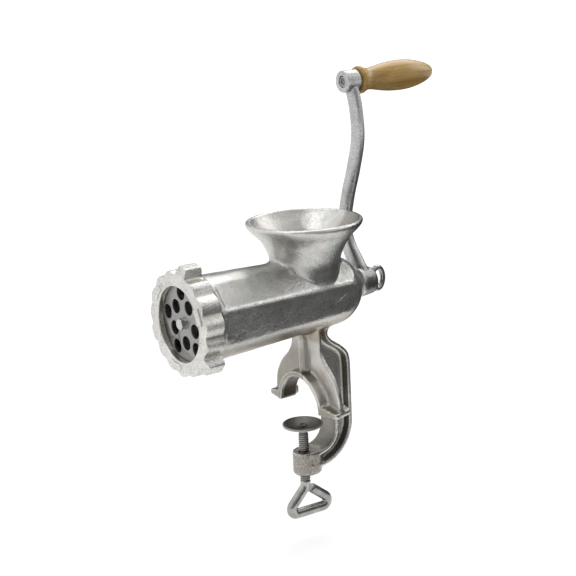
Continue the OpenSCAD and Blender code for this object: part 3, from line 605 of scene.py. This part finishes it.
# %% Fill the wide corners
rows = places(casting)
outside = ease(past_barrel(rows, 0.5), 0, 1.5 * MM)
to_barrel = np.abs(past_barrel(rows, 1))
to_hopper = np.abs(past_upright(rows, HOPPER_X, HOPPER_NECK_R))
near_hopper = (1 - ease(np.maximum(to_barrel, to_hopper), 9 * MM, 20 * MM)) * (rows[:, 2] > BARREL_Z)
near_leg = (1 - ease(to_barrel, 5 * MM, 12 * MM)) * (rows[:, 2] < BARREL_Z)
near_leg *= np.where(beside_rib(rows, cad_box[0][2], STAND_TOP_Z - 8 * MM), 0.02, 1)
fill_corners(casting, repeats=140, share=near_leg * outside, most=5 * MM)
fill_corners(casting, repeats=380, share=near_hopper * outside, most=8 * MM)
soften(casting, repeats=45, share=near_hopper * outside)
on_barrel = ease(rows[:, 0], BARREL_FRONT_X + 18 * MM, BARREL_FRONT_X + 24 * MM)
on_barrel *= ease(rows[:, 2], 45 * MM, 60 * MM) * (1 - ease(rows[:, 2], 140 * MM, 150 * MM))
soften(casting, repeats=30, share=on_barrel * outside)
modify(casting, "SMOOTH", factor=0.5, iterations=2)
uneven(casting, 14 * MM, 0.35 * MM)
print("The casting's skin has", len(casting.data.polygons), "squares")
thin_out(casting, triangles=195000)
wear(casting, casting_tin)
stand_for(casting, "body_casting")

# %% [markdown]
# ## The other castings
#
# The ring nut, the crank and the worm are smaller castings, so they get a finer skin.

# %% Round the ring nut, the crank and the worm
small_castings = [("ring_nut", "ring_casting", 0.55, 7, ring_tin, "tinned_ring"),
                  ("crank_arm", "crank_casting", 0.6, 4, crank_tin, "tinned_crank"),
                  ("auger", "worm_casting", 0.8, 3, worm_tin, "tinned_worm")]
for node, name, voxel, rounding, material, slot in small_castings:
    piece = merged_copy(node, name)
    remesh(piece, voxel * MM, rounding)
    thin_out(piece, triangles=120000)
    wear(piece, material)
    stand_for(piece, node)

# %% [markdown]
# ## Turned and ground steel
#
# The plate, the pins and the pad are cut from bar or sheet. Their edges are broken with a small chamfer,
# which is what makes them glint.

# %% Steel
def steel(name, tone, gloss, scratch, stretch):
    """Steel with fine marks drawn out in one direction."""
    finish = Finish(name)
    marks = finish.noise(scratch, detail=3.0, rough=0.6, stretch=stretch)
    patches = finish.noise(12 * MM, detail=3.0)
    base = finish.mix(marks.between(0.3, 0.7), colour(*[part * 0.82 for part in tone]), colour(*tone))
    base = finish.mix(patches.between(0.4, 0.8) * 0.3, base, colour(*[part * 0.7 for part in tone]))
    rough = gloss + 0.15 * (marks - 0.5) + 0.1 * (patches - 0.5)
    return finish.surface({"Base Color": base, "Metallic": 1.0, "Roughness": rough,
                           "Normal": finish.bump(marks, 0.02 * MM)})


ground = steel("ground_plate", (0.36, 0.355, 0.35), 0.34, 0.5 * MM, (1, 1, 9))
bright = steel("bright_steel", (0.60, 0.60, 0.59), 0.28, 0.4 * MM, (1, 1, 1))
# Nearly black steel: painted shade for the knife behind the plate's holes.
shade_dark = steel("shade_dark_steel", (0.12, 0.118, 0.112), 0.40, 0.6 * MM, (1, 1, 1))
zinc = steel("zinc_plate", (0.50, 0.50, 0.50), 0.30, 0.6 * MM, (1, 1, 1))


# %% Break the edges
def chamfered(node, name, width, material):
    """A copy of a node with its sharp edges broken."""
    piece = merged_copy(node, name)
    modify(piece, "DECIMATE", decimate_type="DISSOLVE", angle_limit=math.radians(0.6))
    modify(piece, "BEVEL", width=width, segments=2, limit_method="ANGLE", angle_limit=math.radians(35))
    pick(piece)
    bpy.ops.object.shade_smooth_by_angle(angle=math.radians(28))
    wear(piece, material)
    stand_for(piece, node)
    return piece


chamfered("grinding_plate", "plate", 0.3 * MM, ground)
chamfered("auger_stud", "stud", 0.3 * MM, bright)
spindle = chamfered("grip_spindle", "spindle", 0.3 * MM, zinc)
chamfered("grip_washer", "washer", 0.2 * MM, zinc)

# %% [markdown]
# The spindle is riveted over with a ring punch. The punch leaves a groove round a raised middle, which is two
# insets and a push, twice.

# %% The spindle's head
def select_faces(piece, test):
    """Goes into edit mode with only those faces selected whose middle and direction pass a test."""
    pick(piece)
    bpy.ops.object.mode_set(mode="EDIT")
    bpy.ops.mesh.select_mode(type="FACE")
    bpy.ops.mesh.select_all(action="DESELECT")
    bpy.ops.object.mode_set(mode="OBJECT")
    for face in piece.data.polygons:
        face.select = test(face.center, face.normal)
    bpy.ops.object.mode_set(mode="EDIT")


head_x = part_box("grip_spindle")[0].x
select_faces(spindle, lambda middle, way: way.x < -0.9 and middle.x < head_x + 0.1 * MM)
for rim, step, push in ((0.4 * MM, 0.25 * MM, 0.8 * MM), (0.9 * MM, 0.25 * MM, -0.7 * MM)):
    bpy.ops.mesh.inset(thickness=rim)
    bpy.ops.mesh.inset(thickness=step)
    bpy.ops.transform.translate(value=(push, 0, 0))
bpy.ops.object.mode_set(mode="OBJECT")
print("The spindle's head is punched and has", len(spindle.data.polygons), "faces")

# %% [markdown]
# The knife is painted nearly black, as painted shade seen through the plate's holes, and the key pin is
# bright.
# Both are hidden, so they keep the construction's own shapes.

# %% Knife and key pin
wear(frame["nodes"]["knife"], shade_dark)
wear(frame["nodes"]["plate_key_pin"], bright)

# %% [markdown]
# The pad is pressed from sheet and has gone dull. Its rim is rubbed by the table, and the screw's riveted end
# stays bright in the middle.

# %% The pressure pad
PAD_RIM_R = 17.4 * MM
RIVET_R = 4.4 * MM
MARK_WIDTH = 0.6 * MM
pad = Finish("pad_steel")
x, y, z = pad.axes()
from_screw = pad.length(x, y)
dull = pad.noise(4 * MM, detail=4.0, rough=0.65)
on_rim = from_screw.between(PAD_RIM_R - 1.2 * MM, PAD_RIM_R)
on_rivet = from_screw.between(RIVET_R, RIVET_R - 0.6 * MM)
pad_tone = pad.mix(dull.between(0.35, 0.65), colour(0.10, 0.098, 0.085), colour(0.16, 0.157, 0.138))
pad_tone = pad.mix(on_rim * 0.7, pad_tone, colour(0.45, 0.445, 0.42))
pad_tone = pad.mix(on_rivet * 0.8, pad_tone, colour(0.55, 0.545, 0.53))
turned = from_screw.sum("PINGPONG", from_screw, MARK_WIDTH) * (1 / MARK_WIDTH)
pad_steel = pad.surface({"Base Color": pad_tone, "Metallic": 1.0, "Roughness": 0.42 + 0.2 * (dull - 0.5),
                         "Normal": pad.bump((dull + 0.2 * turned) * (0.15 * MM), 1.0)})
chamfered("clamp_pad", "pad_disc", 0.3 * MM, pad_steel)

# %% [markdown]
# ## The two screws
#
# The eye screw is a forged eye on a threaded shank, so its skin is rounded like a casting's, and a fine
# thread on its shank is a bump. The clamp screw's thread shows in outline. There the rod is turned down to
# the root of the thread, and a three-cornered ridge is wound round it.

# %% The eye screw
shank = Finish("zinc_thread")
x, y, z = shank.axes()
grain = shank.noise(0.8 * MM, detail=3.0)
on_shank = shank.length(y, z - BARREL_Z).between(4.3 * MM, 4.0 * MM) * x.between(84 * MM, 83 * MM)
ridges = shank.thread(x, y, z - BARREL_Z, EYE_PITCH) * on_shank
shank_tone = shank.mix(grain.between(0.35, 0.65), colour(0.42, 0.42, 0.42), colour(0.54, 0.54, 0.535))
shank_zinc = shank.surface({"Base Color": shank_tone, "Metallic": 1.0,
                            "Roughness": 0.28 + 0.2 * (grain - 0.5),
                            "Normal": shank.bump(grain * (0.03 * MM) + ridges * (0.35 * MM), 1.0)})
eye_screw = merged_copy("crank_thumbscrew", "eye_screw")
remesh(eye_screw, voxel=0.35 * MM, rounding=3)
thin_out(eye_screw, triangles=60000)
wear(eye_screw, shank_zinc)
stand_for(eye_screw, "crank_thumbscrew")

# %% [markdown]
# The clamp screw is plated with zinc that has gone grey, and the grooves of its thread are painted dark, as
# painted shade.

# %% The clamp screw's finish
rod = Finish("zinc_rod")
x, y, z = rod.axes()
grain = rod.noise(0.9 * MM, detail=3.0, rough=0.6)
clouds = rod.noise(9 * MM, detail=3.0)
rod_tone = rod.mix(clouds.between(0.35, 0.65), colour(0.34, 0.335, 0.32), colour(0.46, 0.455, 0.44))
rod_tone = rod.mix(grain.between(0.48, 0.34) * 0.2, rod_tone, colour(0.17, 0.165, 0.155))
# Painted shade in the grooves of the thread.
in_groove = rod.length(x, y).between(ROD_R - 0.3 * MM, ROD_ROOT_R + 0.2 * MM)
in_groove = in_groove * z.between(ROD_THREAD_LOW_Z, ROD_THREAD_LOW_Z + 1 * MM)
rod_tone = rod.mix(in_groove * 0.85, rod_tone, colour(0.07, 0.067, 0.06))
rod_zinc = rod.surface({"Base Color": rod_tone, "Metallic": 1.0, "Roughness": 0.27 + 0.2 * (grain - 0.5),
                        "Normal": rod.bump(grain * (0.02 * MM), 1.0)})

# %% [markdown]
# The rod is turned down between the bent loop and the pad. The loop's own skin is smoothed, as bending and
# plating leave it.

# %% The clamp screw's rod
thread_end_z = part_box("clamp_pad")[0].z - ROD_THREAD_END
clamp_rod = merged_copy("clamp_screw", "clamp_rod")
remesh(clamp_rod, voxel=0.45 * MM, rounding=2)
on_rod = ease(places(clamp_rod)[:, 2], ROD_THREAD_LOW_Z - 4 * MM, ROD_THREAD_LOW_Z - 1 * MM)
soften(clamp_rod, repeats=14, share=1 - on_rod)
rows = places(clamp_rod)
on_thread = ease(rows[:, 2], ROD_THREAD_LOW_Z, ROD_THREAD_LOW_Z + 1 * MM)
on_thread *= 1 - ease(rows[:, 2], thread_end_z, thread_end_z + 1 * MM)
on_thread *= np.hypot(rows[:, 0], rows[:, 1]) < ROD_R + 0.4 * MM
shrink = 1 - on_thread * (1 - ROD_ROOT_R / ROD_R)
put(clamp_rod, rows * np.stack([shrink, shrink, np.ones_like(shrink)], axis=1))

# %% [markdown]
# The ridge starts as one triangle that points outwards, and the Screw modifier winds it up the rod.

# %% Wind the thread
RIDGE_SIZE = 1.14 * MM
RIDGE_R = 3.6 * MM
bpy.ops.object.select_all(action="DESELECT")
bpy.ops.mesh.primitive_circle_add(vertices=3, radius=RIDGE_SIZE, rotation=(0, -math.pi / 2, -math.pi / 2),
                                  location=(RIDGE_R, 0, ROD_THREAD_LOW_Z + 1 * MM))
ridge = bpy.context.object
ridge.name = "thread_ridge"
settle(ridge)
turns = int((thread_end_z - ROD_THREAD_LOW_Z - 1 * MM) / CLAMP_PITCH)
modify(ridge, "SCREW", axis="Z", screw_offset=CLAMP_PITCH, steps=28, render_steps=28, iterations=turns)
pick(ridge)
bpy.ops.object.mode_set(mode="EDIT")
bpy.ops.mesh.select_all(action="SELECT")
bpy.ops.mesh.remove_doubles(threshold=0.005 * MM)
bpy.ops.mesh.fill_holes(sides=0)
bpy.ops.mesh.normals_make_consistent(inside=False)
bpy.ops.object.mode_set(mode="OBJECT")
pick(clamp_rod, ridge)
bpy.ops.object.join()
print("The clamp screw's thread has", turns, "turns")
wear(clamp_rod, rod_zinc)
stand_for(clamp_rod, "clamp_screw")

# %% [markdown]
# ## The thrust washer
#
# The washer behind the worm is pressed fibre, a warm brown with fine marks along one way.

# %% Fibre
fibre = Finish("fibre")
fibre_mark = fibre.noise(0.7 * MM, detail=3.0, stretch=(1, 4, 1))
wear(frame["nodes"]["thrust_washer"], fibre.surface({
    "Base Color": fibre.mix(fibre_mark, colour(0.24, 0.12, 0.06), colour(0.42, 0.24, 0.13)),
    "Roughness": 0.6 + 0.2 * (fibre_mark - 0.5), "Normal": fibre.bump(fibre_mark, 0.05 * MM)}))

# %% [markdown]
# ## The wooden grip
#
# The grip is turned from straight-grained wood, stained by use and varnished. Its grain runs along it, so the
# noise is drawn out twenty times in that direction. The varnish is the shader's coat.

# %% The grip
wood = Finish("varnished_wood")
streaks = wood.noise(1.6 * MM, detail=4.0, rough=0.6, stretch=(22, 1, 1), twist=0.6)
fibres = wood.noise(0.45 * MM, detail=2.0, rough=0.6, stretch=(30, 1, 1))
bands = wood.noise(9 * MM, detail=2.0, stretch=(5, 1, 1))
wood_tone = wood.mix(bands.between(0.35, 0.65), colour(0.40, 0.225, 0.040), colour(0.54, 0.335, 0.065))
wood_tone = wood.mix(streaks.between(0.45, 0.75) * 0.75, wood_tone, colour(0.19, 0.085, 0.02))
wood_tone = wood.mix(fibres.between(0.5, 0.8) * 0.4, wood_tone, colour(0.16, 0.07, 0.02))
grip = merged_copy("wood_grip", "grip")
pick(grip)
bpy.ops.object.shade_smooth_by_angle(angle=math.radians(40))
wear(grip, wood.surface({"Base Color": wood_tone, "Roughness": 0.42 + 0.2 * (streaks - 0.5),
                         "Coat Weight": 0.45, "Coat Roughness": 0.16,
                         "Normal": wood.bump(fibres + streaks, 0.05 * MM)}))
stand_for(grip, "wood_grip")

# %% [markdown]
# ## Floor, light and camera
#
# The floor is plain and pale, and lies low enough for the clamp screw to be wound down above it. Part of its
# white is paper that the lamps light, so that it keeps the grinder's shadow. The other part is a glow that
# only the camera, reflections and clear things see. The glow grows with the distance, because the lamps light
# the far floor less.

# %% Floor
FLOOR_R = 20
SCREW_TRAVEL = 19 * MM
GLOW_NEAR, GLOW_FAR = 0.62, 0.90
bpy.ops.object.select_all(action="DESELECT")
bpy.ops.mesh.primitive_circle_add(vertices=64, radius=FLOOR_R, fill_type="NGON",
                                  location=(0, 0, cad_box[0][2] - SCREW_TRAVEL))
floor = bpy.context.object
floor.name = "floor"
settle(floor)
paper = Finish("white_paper")
seen = paper.node("ShaderNodeLightPath", output="Is Camera Ray")
for path in ("Is Glossy Ray", "Is Transmission Ray"):
    seen = seen + paper.node("ShaderNodeLightPath", output=path)
distance = paper.node("ShaderNodeVectorMath", {0: paper.point()}, output="Value", operation="LENGTH")
strength = seen * (GLOW_NEAR + (GLOW_FAR - GLOW_NEAR) * distance.between(0.8, 2.5))
matt = paper.node("ShaderNodeBsdfDiffuse", {"Color": colour(0.45, 0.45, 0.45)})
glow = paper.node("ShaderNodeEmission", {"Color": colour(1, 1, 1), "Strength": strength})
both = paper.node("ShaderNodeAddShader", {0: matt, 1: glow})
paper.node("ShaderNodeOutputMaterial", {"Surface": both})
wear(floor, paper.owner)
print("The floor lies", round((cad_box[0][2] - SCREW_TRAVEL) / MM, 1), "mm from the table top")

# %% [markdown]
# Bare metal shows what stands round it. On white all round it would look like plaster, so two dark boards
# stand close by, as a photographer puts them up beside silver. Only reflections see them: they throw no
# shadow and hide nothing from the camera.

# %% Dark boards
def board(name, place, facing, width, height, level):
    """A dark board that stands upright and is seen only in reflections."""
    bpy.ops.object.select_all(action="DESELECT")
    bpy.ops.mesh.primitive_plane_add(size=1, location=place)
    piece = bpy.context.object
    piece.name = name
    piece.rotation_euler = Vector(facing).to_track_quat("Z", "Y").to_euler()
    piece.scale = (width, height, 1)
    settle(piece)
    felt = Finish(name + "_felt")
    dark = felt.node("ShaderNodeEmission", {"Color": colour(1, 1, 1), "Strength": level})
    felt.node("ShaderNodeOutputMaterial", {"Surface": dark})
    wear(piece, felt.owner)
    piece.visible_camera = piece.visible_diffuse = piece.visible_shadow = piece.visible_transmission = False


board("front_board", (0.14, -0.20, 0.01), (-0.57, 0.8, 0), 0.75, 0.24, 0.10)
board("right_board", (0.28, 0.10, 0.05), (-1, -0.1, 0), 0.75, 0.34, 0.08)

# %% [markdown]
# A large lamp above the back lights the top of the barrel and the hopper's inside. A smaller one at the right
# lights the barrel's upper side, and a weak one above the left keeps the ring nut bright.

# %% Lamps
CENTRE = Vector((0.02, 0, 0.09))
LAMP_DISTANCE = 1.5


def lamp(name, direction, size, power):
    """A square lamp that faces the grinder from a direction."""
    light = bpy.data.lights.new(name, "AREA")
    light.size, light.energy = size, power
    holder = bpy.data.objects.new(name, light)
    bpy.context.scene.collection.objects.link(holder)
    away = Vector(direction).normalized()
    holder.location = CENTRE + LAMP_DISTANCE * away
    holder.rotation_euler = away.to_track_quat("Z", "Y").to_euler()


lamp("back_lamp", (0.5, 0.35, 0.75), 1.1, 9)
lamp("right_lamp", (0.75, -0.15, 0.45), 0.8, 4)
lamp("top_lamp", (-0.5, -0.1, 1), 0.7, 3)

# %% [markdown]
# The room is dim, a little brighter above and in front at the right, and much brighter behind the grinder at
# the left, where a window would be. The camera sees none of that: past the floor's edge it sees plain white.

# %% Room
room = Finish("room", bpy.data.worlds.new("room"))
bpy.context.scene.world = room.owner
direction = room.node("ShaderNodeTexCoord", output="Generated")
level = 0.12
for toward, start, end, gain in (((0, 0, 1), 0, 0.8, 0.30),
                                 ((-0.75, 0.6, 0.2), 0.1, 0.9, 0.75),
                                 ((0.55, -0.7, 0.45), 0.5, 1, 0.4)):
    level = level + gain * room.dot(direction, Vector(toward).normalized()).between(start, end)
seen = room.node("ShaderNodeLightPath", output="Is Camera Ray")
seen = seen + room.node("ShaderNodeLightPath", output="Is Transmission Ray")
level = level + seen * (1 - level)
backdrop = room.node("ShaderNodeBackground", {"Color": colour(1, 1, 1), "Strength": level})
room.node("ShaderNodeOutputWorld", {"Surface": backdrop})

# %% [markdown]
# The camera stands at the left in front of the grinder and a little above it, and is rolled slightly.

# %% Camera
EYE = Vector((-0.6361, -0.8910, 0.3957))
AZIMUTH, ELEVATION, ROLL = map(math.radians, (-35.16, 14.659, 2.89))
LENS = 81.38
right = Vector((math.cos(AZIMUTH), math.sin(AZIMUTH), 0))
back = Vector((math.sin(AZIMUTH) * math.cos(ELEVATION), -math.cos(AZIMUTH) * math.cos(ELEVATION),
               math.sin(ELEVATION)))
up = back.cross(right)
turned_right = math.cos(ROLL) * right - math.sin(ROLL) * up
turned_up = math.sin(ROLL) * right + math.cos(ROLL) * up
camera = bpy.data.objects.new("camera", bpy.data.cameras.new("camera"))
bpy.context.scene.collection.objects.link(camera)
camera.data.lens = LENS
camera.matrix_world = Matrix.Translation(EYE) @ Matrix((turned_right, turned_up, back)).transposed().to_4x4()
bpy.context.scene.camera = camera
bpy.context.scene.view_settings.view_transform = "Standard"
